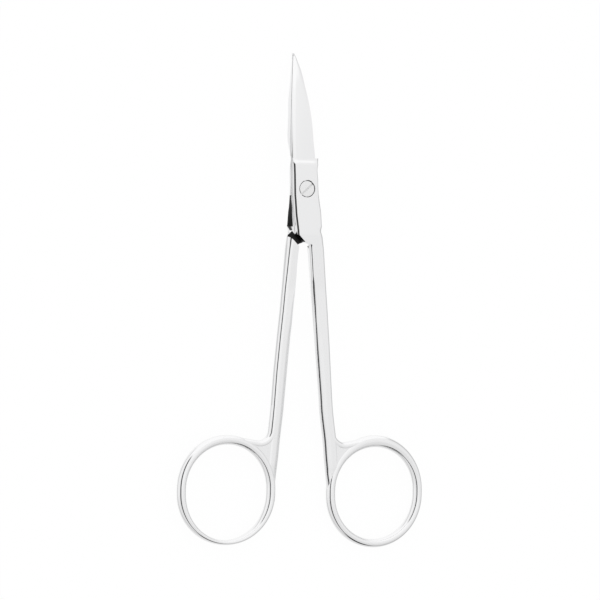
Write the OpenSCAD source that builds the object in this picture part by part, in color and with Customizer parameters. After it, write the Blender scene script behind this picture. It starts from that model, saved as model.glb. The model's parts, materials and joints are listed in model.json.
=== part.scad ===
// Curved iris scissors, closed, lying on a flat surface with the tips down.
// Both halves are drawn about the pivot: +Y runs to the tips, +X to the front half's ring,
// and the pivot axis is Z. The last step tilts them so that the rings and the lower tip
// share one resting plane, and centres the whole on the origin.

/* [Box and lap joint] */
// Width of a lap from the pivot to its edge under the blade's back
lap_in = 2.8; // [2.6:0.1:3.4]
// Width of a lap from the pivot to its edge on the cutting side
lap_out = 3.1; // [2.8:0.1:3.8]
// Thickness of one lap
lap_t = 1.82; // [1.5:0.05:2.4]
// Running gap between the two laps, and between the blades
lap_gap = 0.08; // [0.04:0.01:0.12]
// Height of the blade's shoulder above the pivot
lap_top = 7.1; // [6.4:0.1:8.0]
// Length of the slope from the lap's face down to the blade's face
shoulder_slope = 1.7; // [1.0:0.1:2.4]
// Distance below the pivot where the half bends onto the line of its shank
lap_bend = 1.5; // [0.5:0.1:3.0]
// Distance from the pivot to the slanting lower end of a lap
lap_end = 9; // [8.6:0.05:9.6]
// Width of the open notch between that end and the other half's shoulder
notch_gap = 1.65; // [1.0:0.05:2.0]
// Width of the bevel along the outer edges of the box
box_bevel_w = 0.85; // [0.4:0.05:1.1]
// Depth of the bevel along the outer edges of the box
box_bevel_d = 0.45; // [0.2:0.05:0.7]

/* [Screw] */
// Diameter of the screw head
head_d = 3.7; // [3.2:0.1:4.2]
// Thickness of the screw head
head_h = 0.9; // [0.7:0.05:1.1]
// Open ring between the head and its seat
head_gap = 0.12; // [0.06:0.02:0.2]
// Diameter of the screw's shank
axle_d = 2.4; // [1.8:0.1:2.8]
// Running clearance of the front half on the screw, on the radius
axle_clear = 0.04; // [0.02:0.01:0.08]
// Clearance of the screw in the back half's thread, on the radius
thread_clear = 0.01; // [0.01:0.01:0.03]
// Width of the driver slot
slot_w = 0.5; // [0.4:0.05:0.7]
// Depth of the driver slot
slot_d = 0.4; // [0.3:0.05:0.5]
// Direction of the driver slot
slot_angle = 42; // [0:5:180]

/* [Blades] */
// Distance from the pivot to the tips
blade_reach = 31.7; // [28:0.1:36]
// How far the tips drop below the plane of the laps
tip_drop = 7; // [3:0.1:9]
// Distance from the pivot where the curve starts
curve_start = 7.8; // [7.6:0.1:10]
// Front blade: width from the centre line to its back
front_back_w = 3.43; // [3.2:0.01:3.9]
// Front blade: width from the centre line to its cutting edge
front_edge_w = 2.45; // [2.0:0.01:2.8]
// Back blade: width from the centre line to its back
rear_back_w = 2.35; // [2.0:0.01:2.8]
// Back blade: width from the centre line to its cutting edge, where it is widest
rear_edge_w = 4.3; // [3.9:0.01:4.5]
// Distance from the pivot to that widest place
rear_swell_y = 11.5; // [9.5:0.1:13]
// Blade thickness at the shoulder
blade_root_t = 1.15; // [0.9:0.05:1.4]
// Blade thickness at the tip
blade_tip_t = 0.4; // [0.3:0.05:0.6]
// Half width of the rounded tip
tip_half_w = 0.2; // [0.12:0.01:0.3]
// Width of the ground bevel along the cutting edge
bevel_w = 0.3; // [0.2:0.02:0.5]
// Width of the eased corner along the blade's back
ease_w = 0.35; // [0.2:0.05:0.6]

/* [Shanks] */
// Width of a shank
shank_w = 2.7; // [2.3:0.1:3.2]
// Thickness of a shank
shank_t = 2.9; // [2.5:0.1:3.3]
// Width of the flat along a shank's face
shank_flat = 1.3; // [1.0:0.1:1.6]
// Width of the eased corner between that flat and the shank's inner side
shank_ease = 0.45; // [0.2:0.05:0.5]
// Angle between a shank and the centre line
shank_angle = 5; // [4:0.1:6]
// Offset of the shank's axis from the pivot, at the pivot's height
shank_offset = 1.83; // [1.6:0.01:2.1]

/* [Finger rings] */
// Distance from the centre line to a ring's centre
ring_x = 18.8; // [18:0.1:20]
// Distance from the pivot down to a ring's centre
ring_y = 70; // [66:0.5:76]
// Radius of a ring's centre line
ring_r = 11.5; // [10.8:0.1:12.2]
// Straight stretch that makes a ring oval
ring_stretch = 1; // [0.4:0.1:2]
// Width of a ring's wall
ring_wall = 1.9; // [1.6:0.1:2.2]
// Depth of a ring along the pivot axis
ring_depth = 3; // [2.8:0.1:3.4]
// Width of the worn flat along a ring's faces
ring_flat = 0.2; // [0.1:0.05:0.4]
// Thickness of the web between a ring and its shank
web_t = 2.3; // [1.8:0.1:2.5]
// Radius of the fillet between a ring and its shank
web_fillet = 2.6; // [2.0:0.1:3.2]
// Depth of the hollow in that fillet below the top of the ring
web_hollow = 1.2; // [0.8:0.1:1.6]

/* [Hidden] */
$fn = 64;
half_gap = lap_gap / 2;

// Blade curve: a flat lap, then an arc that reaches tip_drop at the tips
curve_run = blade_reach - curve_start;
curve_r = (curve_run * curve_run + tip_drop * tip_drop) / (2 * tip_drop);
function drop(r) = r <= curve_start ? 0
    : curve_r - sqrt(curve_r * curve_r - (r - curve_start) * (r - curve_start));

// Blade outline: its back is one long arc, its edge is straight and then turns into the tip
back_arc_y = 9;
edge_turn_y = blade_reach - 6.5;
edge_turn_share = 0.52;
root_y = lap_top - 1.9;
root_step = 1;
root_inset = 1;
root_lift = 0.03;
stations = 36;
inner_steps = 6;
blade_run = blade_reach - root_y;
function arc_fall(w, run, y) =
    let (r = (w * w + run * run) / (2 * w)) r - sqrt(max(0, r * r - y * y));
function back_x(w, y) =
    y < root_y + root_step ? w - root_inset * (1 - (y - root_y) / root_step)
    : y <= back_arc_y ? w
    : max(tip_half_w, w - arc_fall(w, blade_reach - back_arc_y, y - back_arc_y));
function edge_x(w, y, swell_y, swell) =
    let (turn_w = w * edge_turn_share, short = max(0, swell_y - y) / (swell_y - root_y))
    y <= swell_y ? w - swell * short * short
    : y <= edge_turn_y ? w + (turn_w - w) * (y - swell_y) / (edge_turn_y - swell_y)
    : max(tip_half_w, turn_w - arc_fall(turn_w, blade_reach - edge_turn_y, y - edge_turn_y));
function blade_t(y) =
    y <= lap_top ? blade_root_t
    : blade_root_t + (blade_tip_t - blade_root_t) * (y - lap_top) / (blade_reach - lap_top);

// Rest: the tilt that brings the lower tip and both rings onto one plane
ring_low = [-(ring_y + ring_stretch / 2 + ring_r + ring_flat / 2), -ring_depth / 2];
tip_low = [blade_reach, -(tip_drop + half_gap + blade_tip_t)];
rest_tilt = atan2(ring_low[1] - tip_low[1], tip_low[0] - ring_low[0]);
rest_z = -(ring_low[0] * sin(rest_tilt) + ring_low[1] * cos(rest_tilt));
ring_end = -(ring_y + ring_stretch / 2 + ring_r + ring_wall / 2);
rest_y = -(ring_end * cos(rest_tilt) + tip_low[0] * cos(rest_tilt) - tip_low[1] * sin(rest_tilt)) / 2;

// Shank: its axis, and the stretch where the box fades into it
function shank_axis_x(y) = shank_offset - y * tan(shank_angle);
shank_start_y = -11;
fade_end_y = -17;
flat_in = shank_w / 2 - shank_ease;
flat_out = shank_flat - flat_in;
fade_t = shank_t / 2 - 0.15;

// Box outline: it widens to the flare, and meets the shank's round side just outside it. Its
// lower end slants, then turns at the heel and runs through the crotch onto the shank.
box_margin = 0.06;
belly_x = shank_axis_x(shank_start_y) + shank_w / 2 + box_margin;
belly_bevel_w = shank_w / 2 - flat_out;
belly_bevel_d = 1.2;
flare_y = -8.6;
flare_x = belly_x - 0.35;
slant = lap_end * sqrt(2);
notch_corner = [-lap_in * 0.75, lap_in * 0.75 - slant];
heel = [-0.6, 0.6 - slant];
crotch = heel + [1.2, -0.5];

// Web: a circle that bites a little into the shank's round side makes the fillet, and a
// straight line that touches both that circle and the ring carries it over
web_bite = ring_wall / 4;
ring_top = [ring_x, -(ring_y - ring_stretch / 2)];
ring_touch_r = ring_r + ring_wall / 2 - web_bite / 2;
web_y = ring_top[1] + ring_r + ring_wall / 2 - web_hollow + web_fillet;
web_x = shank_axis_x(web_y) + shank_w / 2 - web_bite + web_fillet;
web_reach = norm([web_x, web_y] - ring_top);
web_turn = atan2(web_y - ring_top[1], web_x - ring_x) - acos((ring_touch_r + web_fillet) / web_reach);
web_side = [cos(web_turn), sin(web_turn)];

// Section with two flat faces and two bowed sides
module bowed_section(w, d, flat)
{
    run = (w - flat) / 2;
    r = (run * run + d * d / 4) / (2 * run);
    intersection() {
        square([w, d], center = true);
        translate([r - w / 2, 0]) circle(r);
        translate([w / 2 - r, 0]) circle(r);
    }
}

// Carries a section round an oval: two half turns and two straight stretches
module oval_turn(r, stretch)
{
    for (side = [0, 180])
        rotate([0, 0, side]) {
            translate([0, stretch / 2, 0]) rotate_extrude(angle = 180) children();
            translate([0, stretch / 2, 0]) rotate([90, 0, 0]) linear_extrude(stretch) children();
        }
}

module ring()
{
    translate([ring_x, -ring_y, 0])
        oval_turn(ring_r, ring_stretch)
            translate([ring_r, 0]) bowed_section(ring_wall, ring_depth, ring_flat);
}

// Clears a finger opening, just under the surface of the ring's inner side
module finger_opening()
{
    under = 0.15;
    run = (ring_wall - ring_flat) / 2;
    r = (run * run + ring_depth * ring_depth / 4) / (2 * run);
    translate([ring_x, -ring_y, 0])
        oval_turn(ring_r, ring_stretch)
            difference() {
                translate([0, -ring_depth]) square([ring_r - under, 2 * ring_depth]);
                translate([ring_r + under + r - ring_wall / 2, 0]) circle(r);
            }
}

// Shank section: two flat faces, a flat inner side with eased corners, a round outer side
module shank_section()
{
    run = shank_w / 2 - flat_out;
    r = (run * run + shank_t * shank_t / 4) / (2 * run);
    half = shank_t / 2;
    intersection() {
        polygon([
            [-shank_w / 2, shank_ease - half],
            [-flat_in, -half],
            [shank_w, -half],
            [shank_w, half],
            [-flat_in, half],
            [-shank_w / 2, half - shank_ease]
        ]);
        translate([shank_w / 2 - r, 0]) circle(r);
    }
}

module shank()
{
    run = ring_y + shank_start_y;
    translate([shank_axis_x(shank_start_y), shank_start_y, 0])
        rotate([90, 0, shank_angle])
            linear_extrude(run / cos(shank_angle))
                shank_section();
}

module web()
{
    translate([0, 0, -web_t / 2])
        linear_extrude(web_t)
            difference() {
                polygon([
                    [shank_axis_x(web_y), web_y],
                    [web_x, web_y],
                    [web_x, web_y] - web_fillet * web_side,
                    ring_top + ring_touch_r * web_side,
                    ring_top + ring_r * web_side,
                    [ring_x - ring_r, ring_top[1]],
                    [shank_axis_x(ring_top[1]), ring_top[1]]
                ]);
                translate([web_x, web_y]) circle(web_fillet);
            }
}

// Plan of the box side: lap, slanting lower end, and the first stretch of the shank
module box_plan()
{
    polygon([
        [-lap_in, lap_top],
        [-lap_in, -lap_bend],
        notch_corner,
        heel,
        crotch,
        [shank_axis_x(fade_end_y) - flat_in, fade_end_y],
        [shank_axis_x(fade_end_y) + flat_out, fade_end_y],
        [belly_x, shank_start_y],
        [flare_x, flare_y],
        [lap_out, -lap_bend],
        [lap_out, lap_top]
    ]);
}

// Side view of the box: it slopes down to the blade, and fades into the shank
module box_side()
{
    polygon([
        [lap_top, -blade_root_t],
        [lap_top, blade_root_t],
        [lap_top - shoulder_slope, lap_t],
        [shank_start_y, lap_t],
        [fade_end_y, fade_t],
        [fade_end_y, -fade_t],
        [shank_start_y, -lap_t],
        [lap_top - shoulder_slope, -lap_t]
    ]);
}

// Takes the bevel off one outer edge of the box. Each station gives the edge's place, and
// the bevel's width and depth: it deepens where the box goes over into the round shank.
module box_bevel(side)
{
    stations = [
        [shank_axis_x(fade_end_y) + flat_out, fade_end_y - 1, fade_t, flat_out, flat_out],
        [belly_x, shank_start_y, lap_t, belly_bevel_w, belly_bevel_d],
        [flare_x, flare_y, lap_t, box_bevel_w, box_bevel_d],
        [lap_out, -lap_bend, lap_t, box_bevel_w, box_bevel_d],
        [lap_out, lap_top + 1, lap_t, box_bevel_w, box_bevel_d]
    ];
    function point(p, across, down) =
        [p[0] + across * p[3], p[1], side * (p[2] - down * p[4])];
    points = [for (p = stations) each [point(p, -1.2, -0.2), point(p, 0.2, -0.2), point(p, 0.2, 1.2)]];
    last = 3 * (len(stations) - 1);
    faces = concat(
        [[0, 1, 2], [last + 2, last + 1, last]],
        [
            for (k = [0:len(stations) - 2], j = [0:2])
                let (a = 3 * k + j, b = 3 * k + (j + 1) % 3) each [[a, a + 3, b + 3], [a, b + 3, b]]
        ]
    );
    polyhedron(points, [for (f = faces) side > 0 ? f : [f[2], f[1], f[0]]]);
}

module box()
{
    difference() {
        intersection() {
            translate([0, 0, -lap_t]) linear_extrude(2 * lap_t) box_plan();
            rotate([90, 0, 90])
                translate([0, 0, -ring_x]) linear_extrude(2 * ring_x) box_side();
        }
        box_bevel(1);
        box_bevel(-1);
    }
}

// Room for the other half's lap, with the slanting shoulder at its lower end
module lap_recess()
{
    reach = 2 * blade_reach;
    rotate([0, 0, 45])
        translate([-reach, -(lap_end + notch_gap), half_gap - reach])
            cube([2 * reach, 2 * reach, reach]);
}

// Handle side of one half, as the front one lies
module handle_side()
{
    difference() {
        union() {
            difference() {
                union() {
                    box();
                    shank();
                    web();
                }
                finger_opening();
            }
            ring();
        }
        lap_recess();
    }
}

// Blade: sections of a ground blade, lofted along the curve. The inner face lies on the
// surface that the curve sweeps about the pivot, so the edges meet over the whole travel.
// side is 1 for the front blade, and -1 for the back one, which lies under that surface
// with its cutting edge on the other side. The edge swells out by swell up to swell_y.
module blade(side, back_w, edge_w, swell_y, swell)
{
    function lift(y) = y <= lap_top ? root_lift : 0;
    function point(x, y, h) =
        [side * x, y, side * (half_gap + lift(y) + h) - drop(norm([x, y]))];
    function section(y) =
        let (
            b = -back_x(back_w, y),
            e = edge_x(edge_w, y, swell_y, swell),
            t = blade_t(y),
            w = e - b,
            ease = min(ease_w, w / 5),
            bevel = min(bevel_w, w / 5)
        )
        concat(
            [for (k = [0:inner_steps]) point(e - w * k / inner_steps, y, 0)],
            [
                point(b, y, t * 0.6),
                point(b + ease, y, t * 0.92),
                point(b + w * 0.4, y, t),
                point(e - bevel - w * 0.15, y, t * 0.93),
                point(e - bevel, y, t * 0.82)
            ]
        );
    n = inner_steps + 6;
    crown = inner_steps + 3;
    last = stations * n;
    points = [for (k = [0:stations]) each section(root_y + blade_run * k / stations)];
    walls = [
        for (k = [0:stations - 1], j = [0:n - 1])
            let (a = k * n + j, b = k * n + (j + 1) % n)
            each [[a, b + n, b], [a, a + n, b + n]]
    ];
    caps = [
        for (j = [1:n - 2])
            let (a = (crown + j) % n, b = (crown + j + 1) % n)
            each [[crown, a, b], [last + crown, last + b, last + a]]
    ];
    polyhedron(points, concat(walls, caps), convexity = 4);
}

module front_half_upright()
{
    difference() {
        union() {
            handle_side();
            blade(1, front_back_w, front_edge_w, lap_top, 0);
        }
        translate([0, 0, -lap_t]) cylinder(h = 3 * lap_t, r = axle_d / 2 + axle_clear);
        translate([0, 0, lap_t - head_h]) cylinder(h = lap_t, r = head_d / 2 + head_gap);
    }
}

module back_half_upright()
{
    difference() {
        union() {
            rotate([0, 180, 0]) handle_side();
            blade(-1, rear_back_w, rear_edge_w, rear_swell_y, 1.3);
        }
        translate([0, 0, -2 * lap_t]) cylinder(h = 3 * lap_t, r = axle_d / 2 + thread_clear);
    }
}

module pivot_screw_upright()
{
    seat = 0.02;
    rim = 0.12;
    difference() {
        rotate_extrude()
            polygon([
                [0, -lap_t],
                [axle_d / 2 - rim, -lap_t],
                [axle_d / 2, -lap_t + rim],
                [axle_d / 2, lap_t - head_h + seat],
                [head_d / 2, lap_t - head_h + seat],
                [head_d / 2, lap_t - rim],
                [head_d / 2 - rim, lap_t],
                [0, lap_t]
            ]);
        rotate([0, 0, slot_angle])
            translate([-head_d, -slot_w / 2, lap_t - slot_d]) cube([2 * head_d, slot_w, lap_t]);
    }
}

// Lays an upright piece down as it rests
module at_rest()
{
    translate([0, rest_y, rest_z]) rotate([rest_tilt, 0, 0]) children();
}

module front_half()
{
    color("gainsboro") at_rest() front_half_upright();
}

module back_half()
{
    color("silver") at_rest() back_half_upright();
}

module pivot_screw()
{
    color("lightgray") at_rest() pivot_screw_upright();
}

front_half();
back_half();
pivot_screw();
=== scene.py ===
# %% [markdown]
# # Curved iris scissors in polished steel
# This lesson dresses the machined model of a small pair of surgical scissors. The model gives
# three rigid pieces: a front half, a back half and the slotted screw that joins them. Each is
# made again here as a smooth surface with rounded edges, because polished steel shows its
# shape only through the thin bright and dark lines along its edges.

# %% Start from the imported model
import json
import math

import bpy
import numpy as np
from mathutils import Matrix, Vector


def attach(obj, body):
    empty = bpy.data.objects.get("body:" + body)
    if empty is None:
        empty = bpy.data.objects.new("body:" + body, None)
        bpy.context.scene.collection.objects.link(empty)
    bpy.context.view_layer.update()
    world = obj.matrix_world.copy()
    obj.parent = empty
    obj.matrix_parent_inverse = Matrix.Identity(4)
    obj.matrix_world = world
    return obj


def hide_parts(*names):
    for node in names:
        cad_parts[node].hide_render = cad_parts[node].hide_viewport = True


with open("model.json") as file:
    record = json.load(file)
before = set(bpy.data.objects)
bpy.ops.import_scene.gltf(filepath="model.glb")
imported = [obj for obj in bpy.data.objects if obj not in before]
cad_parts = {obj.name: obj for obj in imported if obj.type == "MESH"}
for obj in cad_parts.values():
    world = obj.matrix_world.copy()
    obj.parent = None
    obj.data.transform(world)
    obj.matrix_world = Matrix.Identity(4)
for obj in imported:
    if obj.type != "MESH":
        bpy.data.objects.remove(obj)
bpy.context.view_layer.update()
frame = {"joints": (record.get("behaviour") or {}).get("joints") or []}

# %% [markdown]
# The scissors lie on a table with their tips down, so they are tilted by about three degrees.
# It is easier to draw them about the pivot, with Y along the scissors and Z along the screw,
# in millimetres, and to lay the finished points down afterwards. The pivot's place and
# direction come with the model's one joint, so nothing has to be fitted by hand.

# %% Pivot axes and the step that lays a drawing down
pivot = frame["joints"][0]
pivot_at = np.array(pivot["pos_m"], float)
pivot_z = np.array(pivot["axis"], float)
pivot_z /= np.linalg.norm(pivot_z)
pivot_x = np.array([1.0, 0.0, 0.0])
pivot_y = np.cross(pivot_z, pivot_x)
pivot_axes = np.stack([pivot_x, pivot_y, pivot_z])


def lay_down(points):
    """Millimetres about the pivot become metres in the model's frame: the pivot's place plus
    x, y and z steps along the pivot's own three axes."""
    return pivot_at + np.asarray(points, float) / 1000.0 @ pivot_axes


def turned_over(points):
    """Half a turn about Y, which makes a front half's drawing into a back half's."""
    return np.asarray(points, float) * np.array([-1.0, 1.0, -1.0])


print("pivot at", pivot_at.round(5).tolist(), "axis", pivot_z.round(4).tolist())

# %% [markdown]
# Surgical steel is ground with fine belts and then polished, so its mirror is not perfect:
# very fine lines run along the piece, and the roughness wanders a little from place to place.
# One shader group makes both, and each steel gives it its own strength. The lines come from
# noise that is stretched along Y, which runs the length of the scissors.

# %% A shared group for the fine grinding


def fine_grinding_group():
    """Outputs a roughness that wanders, and a normal with faint lines along the length."""
    group = bpy.data.node_groups.new("Fine grinding", "ShaderNodeTree")
    for title, value in (("Roughness", 0.15), ("Wander", 0.04), ("Line strength", 0.05),
                         ("Line scale", 9000.0)):
        socket = group.interface.new_socket(title, in_out="INPUT", socket_type="NodeSocketFloat")
        socket.default_value = value
    group.interface.new_socket("Roughness", in_out="OUTPUT", socket_type="NodeSocketFloat")
    group.interface.new_socket("Normal", in_out="OUTPUT", socket_type="NodeSocketVector")
    nodes, links = group.nodes, group.links
    start = nodes.new("NodeGroupInput")
    end = nodes.new("NodeGroupOutput")
    place = nodes.new("ShaderNodeTexCoord")
    stretch = nodes.new("ShaderNodeMapping")
    stretch.inputs["Scale"].default_value = (1.0, 0.03, 1.0)
    lines = nodes.new("ShaderNodeTexNoise")
    lines.inputs["Detail"].default_value = 3.0
    patches = nodes.new("ShaderNodeTexNoise")
    patches.inputs["Scale"].default_value = 220.0
    patches.inputs["Detail"].default_value = 2.0
    centred = nodes.new("ShaderNodeMath")
    centred.operation = "SUBTRACT"
    centred.inputs[1].default_value = 0.5
    amount = nodes.new("ShaderNodeMath")
    amount.operation = "MULTIPLY"
    total = nodes.new("ShaderNodeMath")
    total.operation = "ADD"
    bump = nodes.new("ShaderNodeBump")
    bump.inputs["Distance"].default_value = 0.00002
    links.new(place.outputs["Object"], stretch.inputs["Vector"])
    links.new(stretch.outputs["Vector"], lines.inputs["Vector"])
    links.new(start.outputs["Line scale"], lines.inputs["Scale"])
    links.new(place.outputs["Object"], patches.inputs["Vector"])
    links.new(patches.outputs["Fac"], centred.inputs[0])
    links.new(centred.outputs[0], amount.inputs[0])
    links.new(start.outputs["Wander"], amount.inputs[1])
    links.new(amount.outputs[0], total.inputs[0])
    links.new(start.outputs["Roughness"], total.inputs[1])
    links.new(lines.outputs["Fac"], bump.inputs["Height"])
    links.new(start.outputs["Line strength"], bump.inputs["Strength"])
    links.new(total.outputs[0], end.inputs["Roughness"])
    links.new(bump.outputs["Normal"], end.inputs["Normal"])
    return group


grinding = fine_grinding_group()


def steel(name, colour, roughness, wander, line_strength, line_scale):
    """A metal whose colour is the share of light that it sends back."""
    material = bpy.data.materials.new(name)
    material.use_nodes = True
    nodes, links = material.node_tree.nodes, material.node_tree.links
    surface = nodes["Principled BSDF"]
    surface.inputs["Base Color"].default_value = (*colour, 1.0)
    surface.inputs["Metallic"].default_value = 1.0
    ground = nodes.new("ShaderNodeGroup")
    ground.node_tree = grinding
    ground.inputs["Roughness"].default_value = roughness
    ground.inputs["Wander"].default_value = wander
    ground.inputs["Line strength"].default_value = line_strength
    ground.inputs["Line scale"].default_value = line_scale
    links.new(ground.outputs["Roughness"], surface.inputs["Roughness"])
    links.new(ground.outputs["Normal"], surface.inputs["Normal"])
    return material


half_steel = steel("Polished half steel", (0.96, 0.96, 0.965), 0.1, 0.04, 0.06, 9000.0)
# Near-black painted shade: this colour stands in for the shade in the notch and the dark reflections
# on the lap's walls and the screw seat.
painted_shade_steel = steel("Painted shade steel", (0.03, 0.03, 0.03), 0.45, 0.1, 0.1, 6000.0)
screw_steel = steel("Turned screw steel", (0.93, 0.93, 0.93), 0.2, 0.06, 0.1, 14000.0)
slot_steel = steel("Sawn slot steel", (0.82, 0.82, 0.82), 0.35, 0.08, 0.15, 14000.0)
print("materials:", half_steel.name, painted_shade_steel.name, screw_steel.name, slot_steel.name)

# %% [markdown]
# Every shape below is a grid of points: rows are stations along the piece, and columns run
# once round its section. One function turns such a grid into a closed mesh. It joins
# neighbours with four-sided faces, closes the two ends, and turns the faces round if the
# volume that they enclose comes out negative, so that they always point outwards.

# %% From a grid of points to a closed mesh


def enclosed_volume(points, faces):
    """Sum over all faces of a fan of tetrahedra from the origin."""
    total = 0.0
    for size in sorted({len(f) for f in faces}):
        group = np.array([f for f in faces if len(f) == size])
        corner = points[group]
        for k in range(1, size - 1):
            cross = np.cross(corner[:, k], corner[:, k + 1])
            total += np.einsum("ij,ij->", corner[:, 0], cross) / 6.0
    return total


def grid_faces(rows, columns, first=0, loop=False):
    """Four-sided faces between neighbouring stations, once round each section. An open grid
    gets one face over each end, and a loop joins its last station to its first."""
    row = np.arange(rows if loop else rows - 1)[:, None]
    column = np.arange(columns)[None, :]
    after = (row + 1) % rows
    beside = (column + 1) % columns
    quads = np.stack(
        [
            row * columns + column,
            row * columns + beside,
            after * columns + beside,
            after * columns + column,
        ],
        axis=-1,
    )
    faces = (quads.reshape(-1, 4) + first).tolist()
    if not loop:
        start = np.arange(columns) + first
        faces.append(start[::-1].tolist())
        faces.append((start + (rows - 1) * columns).tolist())
    return faces


def closed_mesh(name, shells, sharp=35.0):
    """shells are (points, faces) in metres. Each is turned outwards, and all become one mesh
    with smooth faces that stay sharp where two meet at more than the given angle."""
    all_points = []
    all_faces = []
    count = 0
    for points, faces in shells:
        if enclosed_volume(points, faces) < 0:
            faces = [f[::-1] for f in faces]
        all_points.append(points)
        all_faces += [[i + count for i in f] for f in faces]
        count += len(points)
    mesh = bpy.data.meshes.new(name)
    mesh.from_pydata(np.concatenate(all_points).tolist(), [], all_faces)
    mesh.update()
    mesh.shade_smooth()
    mesh.set_sharp_from_angle(angle=math.radians(sharp))
    return mesh


def new_object(name, shells, sharp=35.0, material=half_steel):
    """An object at the origin that holds the shells."""
    piece = bpy.data.objects.new(name, closed_mesh(name, shells, sharp))
    piece.data.materials.append(material)
    bpy.context.scene.collection.objects.link(piece)
    return piece


def shell_of(grid, loop=False, over=False):
    """A grid of stations about the pivot as one closed shell, turned over for the back half."""
    rows, columns = grid.shape[:2]
    points = grid.reshape(-1, 3)
    points = lay_down(turned_over(points) if over else points)
    return points, grid_faces(rows, columns, loop=loop)


# %% [markdown]
# A half is forged in one piece, then ground. Its handle side is one long bar: a broad flat
# lap at the pivot, a slanting end where the other half's shoulder comes past, and a slim
# shank. The bar's section is a rectangle whose corners are rounded by different amounts: the
# inner wall is nearly upright, and the outer side is full and round. Each corner is a
# quarter of a superellipse, so one number takes it from a flat chamfer to a round.

# %% Named sizes, in millimetres, the same as the model's own
lap_in, lap_out, lap_t, half_gap = 2.8, 3.1, 1.82, 0.04
lap_top, shoulder_slope, lap_bend = 7.1, 1.7, 1.5
lap_end, notch_gap = 9.0, 1.65
shank_w, shank_t, shank_offset, shank_lean = 2.7, 2.9, 1.83, math.tan(math.radians(5))
ring_x, ring_y, ring_r, ring_stretch = 18.8, 70.0, 11.5, 1.0
ring_wall, ring_depth = 1.9, 3.0
head_d, head_h, head_gap, axle_d = 3.7, 0.9, 0.12, 2.4
blade_reach, tip_drop, curve_start = 31.7, 7.0, 7.8
blade_root_t, blade_tip_t, tip_half_w = 1.15, 0.4, 0.2


def shank_axis(y):
    """The straight line that a shank's axis follows."""
    return shank_offset - y * shank_lean


def corner(power, steps):
    """A quarter of a superellipse as (across, up), both from 0 to 1: one minus the cosine,
    and the sine, each to the given power. 1 is round and 2 is a flat chamfer."""
    angle = np.linspace(0, np.pi / 2, steps)[None, :]
    return 1 - np.cos(angle) ** power, np.sin(angle) ** power


def bar_section(left, right, top, bottom, inner, outer, powers, steps=(9, 17)):
    """Points round a rectangle with rounded corners, for every station at once. inner and
    outer are the (width, height) of the corners on the left and on the right, and powers
    says how round each of the two is."""
    inner_lean, inner_rise = corner(powers[0], steps[0])
    lean, rise = corner(powers[1], steps[1])
    back = slice(None, None, -1)
    gap = np.linspace(0, 1, 6)[None, 1:-1]

    def between(a, b):
        return a + (b - a) * gap

    iw, ih = inner
    ow, oh = outer
    xs = [
        left + iw * inner_lean,
        between(left + iw, right - ow),
        (right - ow * lean)[:, back],
        between(right, right),
        right - ow * lean,
        between(right - ow, left + iw),
        (left + iw * inner_lean)[:, back],
        between(left, left),
    ]
    zs = [
        top - ih + ih * inner_rise,
        between(top, top),
        (top - oh + oh * rise)[:, back],
        between(top - oh, bottom + oh),
        bottom + oh - oh * rise,
        between(bottom, bottom),
        (bottom + ih - ih * inner_rise)[:, back],
        between(bottom + ih, top - ih),
    ]
    return np.concatenate(xs, axis=1), np.concatenate(zs, axis=1)


# %% [markdown]
# The bar's outline is a list of a few corners, read off at many stations. Down at the finger
# ring it narrows inside the ring's own wall and ends there, so the two flow into each other.

# %% The handle bar
notch = (-0.75 * lap_in, 0.75 * lap_in - lap_end * math.sqrt(2))
heel = (-0.6, 0.6 - lap_end * math.sqrt(2))
crotch = (heel[0] + 1.85, heel[1] - 0.57)
shank_in, shank_out = 1.65, 1.45
ring_top_y = -(ring_y - ring_stretch / 2)


def ring_line(y, radius):
    """Where a circle about the ring's upper centre crosses height y, on the inner side."""
    return ring_x - np.sqrt(np.maximum(radius**2 - (y - ring_top_y) ** 2, 0))


def rounded_line(y, corners, radius):
    """A line through (along, across) corners, averaged over a short stretch, which rounds
    every corner by about that much."""
    place, value = zip(*sorted(corners))
    shifts = np.linspace(-1, 1, 9)
    return np.mean([np.interp(y + d * radius, place, value) for d in shifts], axis=0)


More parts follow.
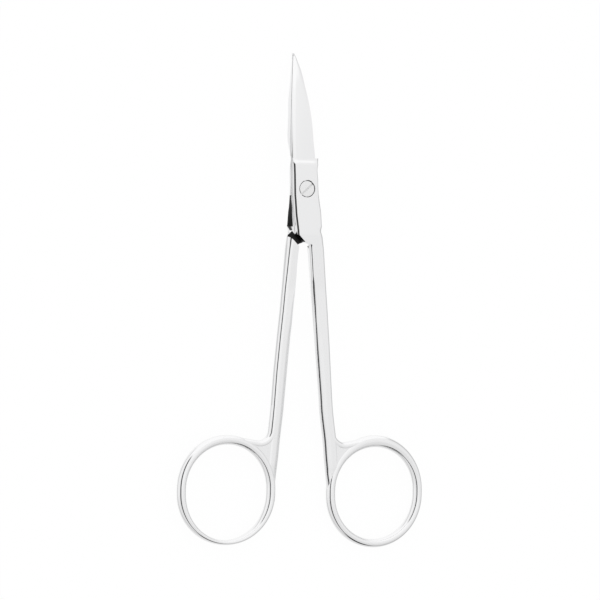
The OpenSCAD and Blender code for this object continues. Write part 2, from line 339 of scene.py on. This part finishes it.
def handle_bar(left_own, right_own):
    """Stations from the top of the lap down into the ring, each a rounded rectangle. The two
    lists are (along, across) pairs: how far this half's sides stand off the common outline."""
    y = np.concatenate(
        [
            np.linspace(lap_top, lap_top - shoulder_slope, 12),
            np.linspace(lap_top - shoulder_slope - 0.05, -lap_bend, 14),
            np.linspace(-lap_bend - 0.5, -8.2, 12),
            np.linspace(-8.4, notch[1] + 0.3, 14),
            np.linspace(notch[1] + 0.2, crotch[1] - 0.3, 44),
            np.linspace(crotch[1] - 0.4, -20, 26),
            np.linspace(-20.5, -60, 56),
            np.linspace(-60.3, -71.5, 40),
        ]
    )[:, None]
    left = rounded_line(y, [(-200, shank_axis(-200.0) - shank_in),
                            (-16.5, shank_axis(-16.5) - shank_in),
                            (crotch[1], crotch[0]), (heel[1], heel[0]), (notch[1], notch[0]),
                            (-lap_bend, -lap_in), (lap_top, -lap_in), (20, -lap_in)], 0.16)
    right = rounded_line(y, [(-200, shank_axis(-200.0) + shank_out),
                             (-11, shank_axis(-11.0) + shank_out - 0.1), (-8.6, 3.68),
                             (-5.3, 3.46), (-3, 3.2), (-lap_bend, lap_out), (20, lap_out)], 0.5)
    left = left + np.interp(y, *zip(*left_own))
    right = right + np.interp(y, *zip(*right_own))
    into_ring = np.clip((-62 - y) / 9.5, 0, 1)
    left = left + 0.35 * into_ring
    right = np.minimum(right, ring_line(y, ring_r) + 0.5 - 0.3 * into_ring)
    slope = np.clip(1 - (lap_top - y) / shoulder_slope, 0, 1)
    half = np.interp(y, [-71.5, -64, -23, -10.5], [0.9, 1.38, 1.42, lap_t])
    half = half - (lap_t - blade_root_t) * slope * slope * (3 - 2 * slope)
    inner_w = np.interp(y, [-34, -27, -20, -13.5, -12.5], [1.5, 0.95, 0.12, 0.12, 0.3])
    inner_h = np.interp(y, [-34, -27, -20, -13.5, -12.5, 5.5, 6.5],
                        [1.38, 1.0, 0.15, 0.15, 0.39, 0.39, 0.15])
    outer_w = np.interp(y, [-15, -9.8, -8.6, -5, -3, 1, 7.1], [1.2, 1.2, 0.5, 0.5, 0.6, 0.8, 0.8])
    outer_h = np.interp(y, [-9.8, -8.6, -5, -3, 1, 7.1], [1.7, 0.35, 0.35, 0.7, 1.7, 1.7])
    inner = (np.minimum(inner_w, 0.58 * (right - left)), np.minimum(inner_h, half * 0.97))
    outer = (np.minimum(outer_w, 0.38 * (right - left)), np.minimum(outer_h, half * 0.97))
    powers = (np.interp(y, [-38, -31, -22], [1.3, 1.1, 1.9]),
              np.interp(y, [-14, -9.8, -8.6], [0.7, 1.1, 1.3]))
    x, z = bar_section(left, right, half, -half, inner, outer, powers)
    share = np.clip((x - left) / (right - left), 0, 1)
    lean = np.interp(y, [-10.6, -9.6, -8.5, -6, -2.5], [0, 1.0, 0.93, 0.5, 0])
    undercut = np.interp(y, [-60, -28, -17, -13.2, -12.4], [0.1, 0.15, 0.55, 0.55, 0])
    x = x - lean * share**8 * np.clip(1 - z / 1.4, 0, 1)
    x = x + undercut * (1 - share) ** 8 * np.clip(-z / 1.45, 0, 1)
    return np.stack([x, np.broadcast_to(y, x.shape), z], axis=-1)


front_bar = handle_bar([(-60, -0.15), (-48, 0.05), (-36, -0.05), (-9.5, 0), (-6, -0.25),
                        (-2.5, -0.28), (3.2, -0.45), (6, -0.6)],
                       [(-60, 0.15), (-48, 0.2), (-36, 0.43), (-28, 0.5), (-11, 0.5),
                        (-8.6, 0.3), (2, 0.25), (4.5, 0), (7.1, 0.4)])
back_bar = handle_bar([(-60, -0.15), (-23, -0.15), (-18, 0)],
                      [(-60, -0.1), (-50, -0.08), (-42, 0.06), (-34, 0), (-28, -0.1), (-12, -0.1),
                       (-8, -0.2), (-4.4, -0.2), (-2.5, 0), (1, 0.3),
                       (4, 0.4), (7.1, 0.25)])
print("handle bars:", front_bar.shape[0], "stations of", front_bar.shape[1], "points")

# %% [markdown]
# The finger ring is an oval path: two half turns with a short straight stretch between them.
# A full, slightly flattened oval section is carried along it. A second, open tube of the same
# section leaves the ring along a tangent, turns through the fillet and runs up the shank. It
# is the rim of the web, and a plain plate fills the corner behind it.

# %% Ring, web rim and web plate


def oval_section(half_w, half_h, count=40, power=0.9):
    """A closed superellipse: cosine and sine, each kept with its sign and raised to a power."""
    angle = np.arange(count) * 2 * np.pi / count
    c, s = np.cos(angle), np.sin(angle)
    return half_w * np.sign(c) * np.abs(c) ** power, half_h * np.sign(s) * np.abs(s) ** power


def carried(path, outward, section, widen=1.0):
    """Each station is the path's point plus the section's width, times widen, along its
    outward direction, and the section's height along Z."""
    across, up = section
    wide = np.broadcast_to(np.asarray(widen, float), len(path))[:, None, None]
    flat = path[:, None, :] + outward[:, None, :] * across[None, :, None] * wide
    height = np.broadcast_to(up[None, :, None], flat.shape[:2] + (1,))
    return np.concatenate([flat, height], axis=-1)


def finger_ring(top, bottom):
    """Half a turn about the upper centre, then half a turn about the lower one. The wall
    grows by the share top over the ring and by the share bottom under it."""
    first = np.linspace(0, np.pi, 100)
    angle = np.concatenate([first, first + np.pi])
    shift = np.concatenate([np.full(100, ring_stretch / 2), np.full(100, -ring_stretch / 2)])
    outward = np.stack([np.cos(angle), np.sin(angle)], axis=1)
    centre = np.stack([np.full(200, ring_x), shift - ring_y], axis=1)
    up = np.sin(angle)
    widen = 1 + top * np.clip(up, 0, 1) ** 2 + bottom * np.clip(-up, 0, 1) ** 2
    return carried(centre + ring_r * outward, outward,
                   oval_section(ring_wall / 2, ring_depth / 2), widen)


fillet_r = 2.6
fillet_low = -58.2
fillet_y = fillet_low + fillet_r
fillet_x = shank_axis(fillet_y) + shank_w / 2 + fillet_r
to_fillet = math.hypot(fillet_x - ring_x, fillet_y - ring_top_y)
turn = math.acos((ring_r + ring_wall / 2 + fillet_r) / to_fillet)
leave = math.atan2(fillet_y - ring_top_y, fillet_x - ring_x) - turn


def web_rim_line(inset):
    """The web's outline, moved in by inset: an arc of the ring, the straight line that
    touches both the ring and the fillet circle, the fillet, and a run up the shank."""
    ring_arc = np.linspace(leave - 0.9, leave, 16)
    fillet_arc = np.linspace(leave + np.pi, np.pi + math.radians(5), 24)
    on_ring = ring_r + ring_wall / 2 - inset
    a = np.stack([np.cos(ring_arc), np.sin(ring_arc)], axis=1)
    b = -np.stack([np.cos(fillet_arc), np.sin(fillet_arc)], axis=1)
    start = np.array([ring_x, ring_top_y]) + on_ring * a
    bend = np.array([fillet_x, fillet_y]) - (fillet_r + inset) * b
    share = np.linspace(0, 1, 12)[1:-1, None]
    line = start[-1] + (bend[0] - start[-1]) * share
    up = np.linspace(0.5, 6, 10)[:, None] * np.array([-shank_lean, 1.0])
    path = np.concatenate([start, line, bend, bend[-1] + up])
    outward = np.concatenate([a, np.repeat(a[-1:], 10, axis=0), b, np.repeat(b[-1:], 10, axis=0)])
    return path, outward


def web_rim():
    """The ring's own section, a little smaller, carried along the web's outline."""
    path, outward = web_rim_line(ring_wall / 2 - 0.05)
    return carried(path, outward, oval_section(ring_wall / 2 - 0.05, 1.38))


def web_plate(half=1.22):
    """The rim's middle line, closed through the shank and the ring, raised to a plate."""
    rim, _ = web_rim_line(ring_wall / 2)
    angle = np.linspace(leave, np.pi * 1.03, 30)[1:]
    ring_part = np.stack([ring_x + ring_r * np.cos(angle), ring_top_y + ring_r * np.sin(angle)],
                         axis=1)
    low = np.array([[shank_axis(-69.0) - 0.2, -69.0]])
    outline = np.concatenate([rim[15:][::-1], ring_part, low])
    count = len(outline)
    points = np.concatenate([np.c_[outline, np.full(count, half)],
                             np.c_[outline, np.full(count, -half)]])
    walls = [[i, (i + 1) % count, (i + 1) % count + count, i + count] for i in range(count)]
    caps = [list(range(count))[::-1], list(range(count, 2 * count))]
    return points, walls + caps


def set_ring(points, shift, stretch):
    """Moves and stretches a half's ring end about the ring's middle. The move fades out up
    the shank, so everything that meets there stays together."""
    points = np.array(points, float)
    x, y = points[..., 0].copy(), points[..., 1].copy()
    near = np.clip((-50 - y) / 10, 0, 1)
    near = near * near * (3 - 2 * near)
    points[..., 0] = x + near * (shift[0] + (x - ring_x) * stretch[0])
    points[..., 1] = y + near * (shift[1] + (y + ring_y) * stretch[1])
    return points


print("ring section", ring_wall, "by", ring_depth, "mm; the fillet circle is at",
      round(fillet_x, 2), round(fillet_y, 2))

# %% [markdown]
# The blades are curved and hollow ground to a point. A blade's inner face lies on the surface
# that its curve sweeps about the pivot, so the two blades slide over each other at every
# opening. Its sections have an upright back, an eased corner, a crowned face that thins
# towards the edge, and a narrow ground bevel along the edge.

# %% The blades
curve_run = blade_reach - curve_start
curve_r = (curve_run**2 + tip_drop**2) / (2 * tip_drop)
back_arc_y = 9.0
root_y = lap_top - 1.9


def drop(radius):
    """Nothing near the pivot, then an arc of a circle that reaches tip_drop at the tips."""
    out = np.maximum(radius - curve_start, 0)
    return curve_r - np.sqrt(curve_r**2 - out**2)


def arc_fall(width, run, along):
    """How far an arc that falls by width over run has fallen at along."""
    r = (width**2 + run**2) / (2 * width)
    return r - np.sqrt(np.maximum(r**2 - np.clip(along, 0, run) ** 2, 0))


def blade(side, back_w, edge_marks):
    """Sections across the blade, lofted along it. Each point is (across, along, thickness),
    and the curve's drop is taken from its height. The cutting edge follows a smooth line
    past the given (along, across) marks."""
    share = np.linspace(0, 1, 110)
    y = (root_y + (blade_reach - root_y) * (1 - (1 - share) ** 1.25))[:, None]
    back = np.where(y < root_y + 1, back_w - (root_y + 1 - y),
                    np.maximum(tip_half_w, back_w - arc_fall(back_w, blade_reach - back_arc_y,
                                                             y - back_arc_y)))
    edge = np.maximum(tip_half_w, rounded_line(y, edge_marks, np.minimum(1.4, blade_reach - y)))
    t = blade_root_t + (blade_tip_t - blade_root_t) * np.clip(
        (y - lap_top) / (blade_reach - lap_top), 0, 1)
    b = -back
    w = edge + back
    ease = np.minimum(0.66, w / 4)
    bevel = np.minimum(0.3, w / 5)
    inner = np.linspace(0, 1, 13)[None, :]
    inner_x = edge - w * inner
    inner_h = 0.035 * np.sin(np.pi * inner) + 0 * y
    lean, rise = corner(1.8, 6)
    wall_x = b + 0 * np.ones((1, 3))
    wall_h = t * np.array([[0.1, 0.22, 0.34]])
    ease_x = b + ease * lean
    ease_h = t * (0.45 + 0.49 * rise)
    face = np.linspace(0, 1, 22)[None, 1:]
    face_x = b + ease + (w - ease - bevel) * face
    crown = 0.4
    spread = np.where(face < crown, (crown - face) / crown, (face - crown) / (1 - crown))
    face_h = t * (1 - np.where(face < crown, 0.06, 0.18) * spread**2)
    bevel_share = np.linspace(0, 1, 5)[None, 1:-1]
    bevel_x = edge - bevel * (1 - bevel_share)
    bevel_h = 0.82 * t * (1 - bevel_share) + 0.03 * bevel_share
    x = np.concatenate([inner_x, wall_x, ease_x, face_x, bevel_x], axis=1)
    h = np.concatenate([inner_h, wall_h, ease_h, face_h, bevel_h], axis=1)
    yy = np.broadcast_to(y, x.shape)
    lift = np.where(yy <= lap_top, 0.012, 0.0)
    z = side * (half_gap + lift + h) - drop(np.hypot(x, yy))
    return np.stack([side * x, yy, z], axis=-1)


# %% [markdown]
# The laps are milled away to half the thickness, and each is bored for the screw. The cuts
# are exact solids taken out with a boolean, as on the real piece, so they leave the crisp
# edges that ground steel has.

# %% Milling and boring


def block(low, high, turn_deg=0.0, over=False):
    """A box between two corners, turned about the pivot."""
    corners = np.array([[x, y, z] for z in (low[2], high[2]) for x, y in
                        ((low[0], low[1]), (high[0], low[1]), (high[0], high[1]), (low[0], high[1]))])
    a = math.radians(turn_deg)
    flat = corners[:, :2] @ np.array([[math.cos(a), math.sin(a)], [-math.sin(a), math.cos(a)]])
    points = np.c_[flat, corners[:, 2]]
    points = lay_down(turned_over(points) if over else points)
    return points, grid_faces(2, 4)


def turned(profile, count=96, over=False):
    """A profile of (radius, height) turned about the pivot, closed at both ends."""
    angle = np.arange(count) * 2 * np.pi / count
    radius = np.array([p[0] for p in profile])[:, None]
    height = np.array([p[1] for p in profile])[:, None]
    grid = np.stack([radius * np.cos(angle), radius * np.sin(angle),
                     height + 0 * angle], axis=-1)
    return shell_of(grid, over=over)


def cut(piece, tools, sharp=35.0):
    """Takes each closed shell out of the piece with an exact boolean, and applies it."""
    for points, faces in tools:
        tool = new_object("cutter", [(points, faces)])
        step = piece.modifiers.new("cut", "BOOLEAN")
        step.operation = "DIFFERENCE"
        step.solver = "EXACT"
        step.object = tool
        graph = bpy.context.evaluated_depsgraph_get()
        result = bpy.data.meshes.new_from_object(piece.evaluated_get(graph))
        piece.modifiers.clear()
        old = piece.data
        piece.data = result
        bpy.data.meshes.remove(old)
        tool_mesh = tool.data
        bpy.data.objects.remove(tool)
        bpy.data.meshes.remove(tool_mesh)
    piece.data.shade_smooth()
    piece.data.set_sharp_from_angle(angle=math.radians(sharp))


def add_shells(piece, shells, sharp=35.0):
    """Joins more closed shells to a piece that has been cut."""
    extra = new_object("extra", shells, sharp)
    with bpy.context.temp_override(active_object=piece, object=piece,
                                   selected_editable_objects=[piece, extra],
                                   selected_objects=[piece, extra]):
        bpy.ops.object.join()


def paint_recess_shade(piece, over):
    """Gives the second material, a near-black painted shade, to the walls and the floor of the
    notch, the lap's slanted end and its upright inner wall, and the wall of the screw's seat: it
    paints the shade and dark reflections that fall there into the colour. Each face is known by
    its middle and its direction."""
    mesh = piece.data
    mesh.materials.append(painted_shade_steel)
    turn_back = np.array([-1.0, 1.0, -1.0]) if over else np.ones(3)
    picked = 0
    for face in mesh.polygons:
        middle = pivot_axes @ (np.array(face.center) - pivot_at) * 1000 * turn_back
        facing = pivot_axes @ np.array(face.normal) * turn_back
        across = (middle[0] - middle[1]) / math.sqrt(2)
        ending = (-middle[0] - middle[1]) / math.sqrt(2)
        in_notch = lap_end - 0.15 < across < lap_end + notch_gap + 0.05 and middle[2] < 0.1
        floor = in_notch and abs(middle[2]) < 0.08 and facing[2] < -0.9 and middle[0] < 3.4
        shoulder_wall = in_notch and facing[0] < -0.6 and facing[1] > 0.6
        end_wall = (ending > lap_end - 0.2 and facing[0] < -0.2 and facing[1] < -0.3
                    and middle[1] > -13 and abs(facing[2]) < 0.5)
        flank = (-8.7 < middle[1] < -1.6 and middle[0] > 2.2 and facing[0] > 0.6
                 and 0.02 < middle[2] < 1.5)
        seat_wall = (lap_t - head_h < middle[2] < lap_t - 0.06
                     and 1.9 < math.hypot(middle[0], middle[1]) < 2.05 and abs(facing[2]) < 0.3)
        # Each picked face gets the near-black colour, which is painted shade and painted dark
        # reflection.
        face.material_index = int(floor or shoulder_wall or end_wall or flank or seat_wall)
        picked += face.material_index
    return picked


def build_half(name, over, bar, blade_grid, ring_set, ring_walls):
    """Bar, milled and bored; then blade, ring, rim and plate in one object."""
    piece = new_object(name, [shell_of(set_ring(bar, *ring_set), over=over)])
    shoulder = lap_end + notch_gap
    tools = [block((-60, -shoulder, -30), (60, 60, half_gap), 45, over),
             block((-9, -shoulder, -30), (9, -lap_end + 0.1, half_gap + 0.01), 45, over)]
    if over:
        tools.append(turned([(axle_d / 2 + 0.01, -5), (axle_d / 2 + 0.01, 5)], over=over))
    else:
        tools.append(turned([(axle_d / 2 + 0.04, -5), (axle_d / 2 + 0.04, 5)]))
        seat = head_d / 2 + head_gap
        tools.append(turned([(seat, lap_t - head_h), (seat, lap_t - 0.06),
                             (seat + 0.12, lap_t + 0.06), (seat + 0.12, 3)]))
    cut(piece, tools)
    # Paints shade and dark reflection into the notch, the lap's walls and the screw seat.
    paint_recess_shade(piece, over)
    points, faces = web_plate()
    points = set_ring(points, *ring_set)
    plate = (lay_down(turned_over(points) if over else points), faces)
    ring = set_ring(finger_ring(*ring_walls), *ring_set)
    add_shells(piece, [shell_of(ring, loop=True, over=over),
                       shell_of(set_ring(web_rim(), *ring_set), over=over), plate])
    add_shells(piece, [(lay_down(blade_grid.reshape(-1, 3)),
                        grid_faces(blade_grid.shape[0], blade_grid.shape[1]))], 28.0)
    print(name, len(piece.data.polygons), "faces")
    return piece


front_edge = [(5, 2.6), (7.1, 2.6), (11.5, 2.15), (18.2, 1.5), (25.2, 1.27), (28.5, 0.95),
              (blade_reach, 0.2)]
back_edge = [(5, 2.9), (7.1, 3.35), (11.5, 4.3), (20.5, 3.4), (28.6, 1.25), (blade_reach, 0.2)]
front = build_half("front_half_steel", False, front_bar, blade(1, 3.43, front_edge),
                   ((0.25, -0.13), (-0.022, -0.011)), (0.42, 0.0))
back = build_half("back_half_steel", True, back_bar, blade(-1, 2.35, back_edge),
                  ((-0.25, 0.6), (-0.031, -0.021)), (0.2, -0.4))

# %% [markdown]
# The screw is turned: a low head with a rounded rim, sunk flush in the front lap, and a plain
# shank. A narrow slot is sawn across the head. It stands at a slant, as it did when the
# screw was tight.

# %% The slotted screw


def build_screw():
    """A profile from the shank's end to the top of the head, turned, then slotted."""
    head = head_d / 2
    profile = [(0.01, -lap_t), (axle_d / 2 - 0.12, -lap_t), (axle_d / 2, -lap_t + 0.12),
               (axle_d / 2, lap_t - head_h + 0.02), (head, lap_t - head_h + 0.02)]
    angle = np.linspace(0, np.pi / 2, 7)
    profile += [(head - 0.2 + 0.2 * math.cos(a), lap_t - 0.16 + 0.13 * math.sin(a))
                for a in angle]
    profile += [(head * 0.6, lap_t - 0.01), (head * 0.3, lap_t - 0.003), (0.01, lap_t)]
    screw = new_object("pivot_screw_steel", [turned(profile)], material=screw_steel)
    cut(screw, [block((-4, -0.25, lap_t - 0.4), (4, 0.25, 4), 42)])
    screw.data.materials.append(slot_steel)
    for face in screw.data.polygons:
        middle = pivot_axes @ (np.array(face.center) - pivot_at) * 1000
        off_line = abs(middle[1] * math.cos(math.radians(42)) - middle[0] * math.sin(math.radians(42)))
        in_slot = off_line < 0.26 and lap_t - 0.41 < middle[2] < lap_t - 0.05
        face.material_index = int(in_slot and math.hypot(middle[0], middle[1]) < head - 0.05)
    return screw


screw = build_screw()
print("screw", len(screw.data.polygons), "faces")

# %% [markdown]
# Each new piece stands for one node of the model and moves with its body: the screw is fast
# in the back half, and the front half turns on it.

# %% Pieces take their nodes' places
for piece, node, body, finish in (
    (front, "front_half", "front", "half_steel"),
    (back, "back_half", "back", "half_steel"),
    (screw, "pivot_screw", "back", "screw_steel"),
):
    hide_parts(node)
    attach(piece, body)
    print(piece.name, "stands for", node)

# %% [markdown]
# Polished steel has no colour of its own to show: it shows the room. A photographer builds
# that room from white screens and a few dark gaps, so that flat faces go white and the edges
# get thin dark lines. Here the sky does it. The lamp light is plain white from everywhere,
# and only the reflections see the screens: white above, dark lines near the horizon, a white
# sweep below it that stays white straight down, and a grey band low on the left.

# %% The room that the steel sees


def level_ramp(nodes, stops):
    """A colour ramp of plain greys: (position, level) pairs from 0 to 1."""
    node = nodes.new("ShaderNodeValToRGB")
    ramp = node.color_ramp
    ramp.elements[0].position = stops[0][0]
    ramp.elements[1].position = stops[-1][0]
    for position, _ in stops[1:-1]:
        ramp.elements.new(position)
    for element, (_, level) in zip(ramp.elements, stops):
        element.color = (level, level, level, 1.0)
    return node


round_stops = [(-180, 1.0), (-150, 1.0), (-118, 0.84), (-98, 0.43), (-80, 0.76), (-45, 0.93),
               (-25, 0.94), (0, 0.98), (12, 1.0), (48, 1.0), (62, 0.9), (69, 0.06), (92, 0.06),
               (101, 0.9), (140, 1.0), (149, 0.9), (152, 0.68), (159, 0.68), (163, 0.95),
               (180, 1.0)]
length_stops = [(-1.0, 0.05), (-0.965, 0.08), (-0.9, 0.75), (-0.35, 0.82), (-0.12, 0.87),
                (-0.03, 0.915), (0.15, 0.92), (0.75, 0.96), (0.93, 1.0), (1.0, 1.0)]
tip_card_stops = [(-1.0, 0.0), (0.7, 0.0), (0.79, 1.0), (1.0, 1.0)]


def studio_world():
    """Plain white for everything but reflections. Those see long screens that lie along the
    scissors, so their level depends on the angle round the scissors' length, times a level
    that falls off towards the rings' end."""
    world = bpy.data.worlds.new("Studio")
    world.use_nodes = True
    nodes, links = world.node_tree.nodes, world.node_tree.links
    nodes.clear()
    out = nodes.new("ShaderNodeOutputWorld")
    sky = nodes.new("ShaderNodeBackground")
    place = nodes.new("ShaderNodeTexCoord")
    split = nodes.new("ShaderNodeSeparateXYZ")
    leftward = nodes.new("ShaderNodeMath")
    leftward.operation = "MULTIPLY"
    leftward.inputs[1].default_value = -1.0
    angle = nodes.new("ShaderNodeMath")
    angle.operation = "ARCTAN2"
    around = nodes.new("ShaderNodeMapRange")
    around.inputs["From Min"].default_value = -math.pi
    around.inputs["From Max"].default_value = math.pi
    along = nodes.new("ShaderNodeMapRange")
    along.inputs["From Min"].default_value = -1.0
    screens = level_ramp(nodes, [((a + 180) / 360, v) for a, v in round_stops])
    fall = level_ramp(nodes, [((a + 1) / 2, v) for a, v in length_stops])
    both = nodes.new("ShaderNodeMix")
    both.data_type = "RGBA"
    both.blend_type = "MULTIPLY"
    both.inputs["Factor"].default_value = 1.0
    tip_card = level_ramp(nodes, [((a + 1) / 2, v) for a, v in tip_card_stops])
    lit = nodes.new("ShaderNodeMix")
    lit.data_type = "RGBA"
    lit.inputs["B"].default_value = (1.0, 1.0, 1.0, 1.0)
    path = nodes.new("ShaderNodeLightPath")
    choose = nodes.new("ShaderNodeMix")
    choose.data_type = "RGBA"
    choose.inputs["A"].default_value = (1.0, 1.0, 1.0, 1.0)
    links.new(place.outputs["Generated"], split.inputs[0])
    links.new(split.outputs["X"], leftward.inputs[0])
    links.new(leftward.outputs[0], angle.inputs[0])
    links.new(split.outputs["Z"], angle.inputs[1])
    links.new(angle.outputs[0], around.inputs["Value"])
    links.new(split.outputs["Y"], along.inputs["Value"])
    links.new(around.outputs["Result"], screens.inputs["Fac"])
    links.new(along.outputs["Result"], fall.inputs["Fac"])
    links.new(screens.outputs["Color"], both.inputs["A"])
    links.new(fall.outputs["Color"], both.inputs["B"])
    links.new(path.outputs["Is Glossy Ray"], choose.inputs["Factor"])
    links.new(along.outputs["Result"], tip_card.inputs["Fac"])
    links.new(tip_card.outputs["Color"], lit.inputs["Factor"])
    links.new(both.outputs["Result"], lit.inputs["A"])
    links.new(lit.outputs["Result"], choose.inputs["B"])
    links.new(choose.outputs["Result"], sky.inputs["Color"])
    links.new(sky.outputs["Background"], out.inputs["Surface"])
    return world


bpy.context.scene.world = studio_world()
bpy.context.scene.view_settings.view_transform = "Standard"

# %% [markdown]
# The table is a wide white sheet. It takes the scissors' soft shadow, and it lets reflections
# through to the room's lower half, which stands for the lit sweep.

# %% Table


def table():
    """A flat sheet, diffuse white to every ray but a reflection."""
    corners = np.array([[-2, -2, 0], [2, -2, 0], [2, 2, 0], [-2, 2, 0]], float)
    mesh = bpy.data.meshes.new("table")
    mesh.from_pydata(corners.tolist(), [], [[0, 1, 2, 3]])
    sheet = bpy.data.objects.new("table", mesh)
    bpy.context.scene.collection.objects.link(sheet)
    material = bpy.data.materials.new("White sheet")
    material.use_nodes = True
    nodes, links = material.node_tree.nodes, material.node_tree.links
    nodes.clear()
    out = nodes.new("ShaderNodeOutputMaterial")
    white = nodes.new("ShaderNodeBsdfDiffuse")
    white.inputs["Color"].default_value = (1.0, 1.0, 1.0, 1.0)
    clear = nodes.new("ShaderNodeBsdfTransparent")
    path = nodes.new("ShaderNodeLightPath")
    mix = nodes.new("ShaderNodeMixShader")
    glow = nodes.new("ShaderNodeEmission")
    glow.inputs["Color"].default_value = (1.0, 1.0, 1.0, 1.0)
    share = nodes.new("ShaderNodeMath")
    share.operation = "MULTIPLY"
    share.inputs[1].default_value = 0.96
    seen = nodes.new("ShaderNodeMixShader")
    links.new(path.outputs["Is Camera Ray"], share.inputs[0])
    links.new(share.outputs[0], seen.inputs["Fac"])
    links.new(white.outputs["BSDF"], seen.inputs[1])
    links.new(glow.outputs["Emission"], seen.inputs[2])
    links.new(path.outputs["Is Glossy Ray"], mix.inputs["Fac"])
    links.new(seen.outputs["Shader"], mix.inputs[1])
    links.new(clear.outputs["BSDF"], mix.inputs[2])
    links.new(mix.outputs["Shader"], out.inputs["Surface"])
    mesh.materials.append(material)
    return sheet


table()

# %% [markdown]
# The photographer stood well back, over the scissors and about 25 degrees to their left, so
# the lens is long and the picture is nearly flat. The picture is turned by less than a degree.

# %% Camera


def photo_camera():
    """The pivot's axes give the directions: right, up and back are turned by the side angle
    and then by the small roll, and the distance fits the picture's width."""
    side, roll = math.radians(25), math.atan(0.0135)
    mm_per_pixel = 0.2305
    flat_right = pivot_x * math.cos(side) + pivot_z * math.sin(side)
    away = -pivot_x * math.sin(side) + pivot_z * math.cos(side)
    right = flat_right * math.cos(roll) + pivot_y * math.sin(roll)
    up = pivot_y * math.cos(roll) - flat_right * math.sin(roll)
    centre = pivot_at + pivot_y * (-25.59 / 1000) + flat_right * (-0.576 / 1000)
    data = bpy.data.cameras.new("photo")
    data.lens = 200
    data.sensor_width = 36
    distance = 600 * mm_per_pixel / 1000 / 2 / (18 / 200)
    data.clip_start = 0.01
    data.clip_end = 10
    camera = bpy.data.objects.new("photo", data)
    bpy.context.scene.collection.objects.link(camera)
    camera.matrix_world = Matrix.Translation(Vector(centre + away * distance)) @ Matrix(
        (right.tolist(), up.tolist(), away.tolist())).transposed().to_4x4()
    bpy.context.scene.camera = camera
    return distance


print("camera distance", round(photo_camera(), 3), "m")
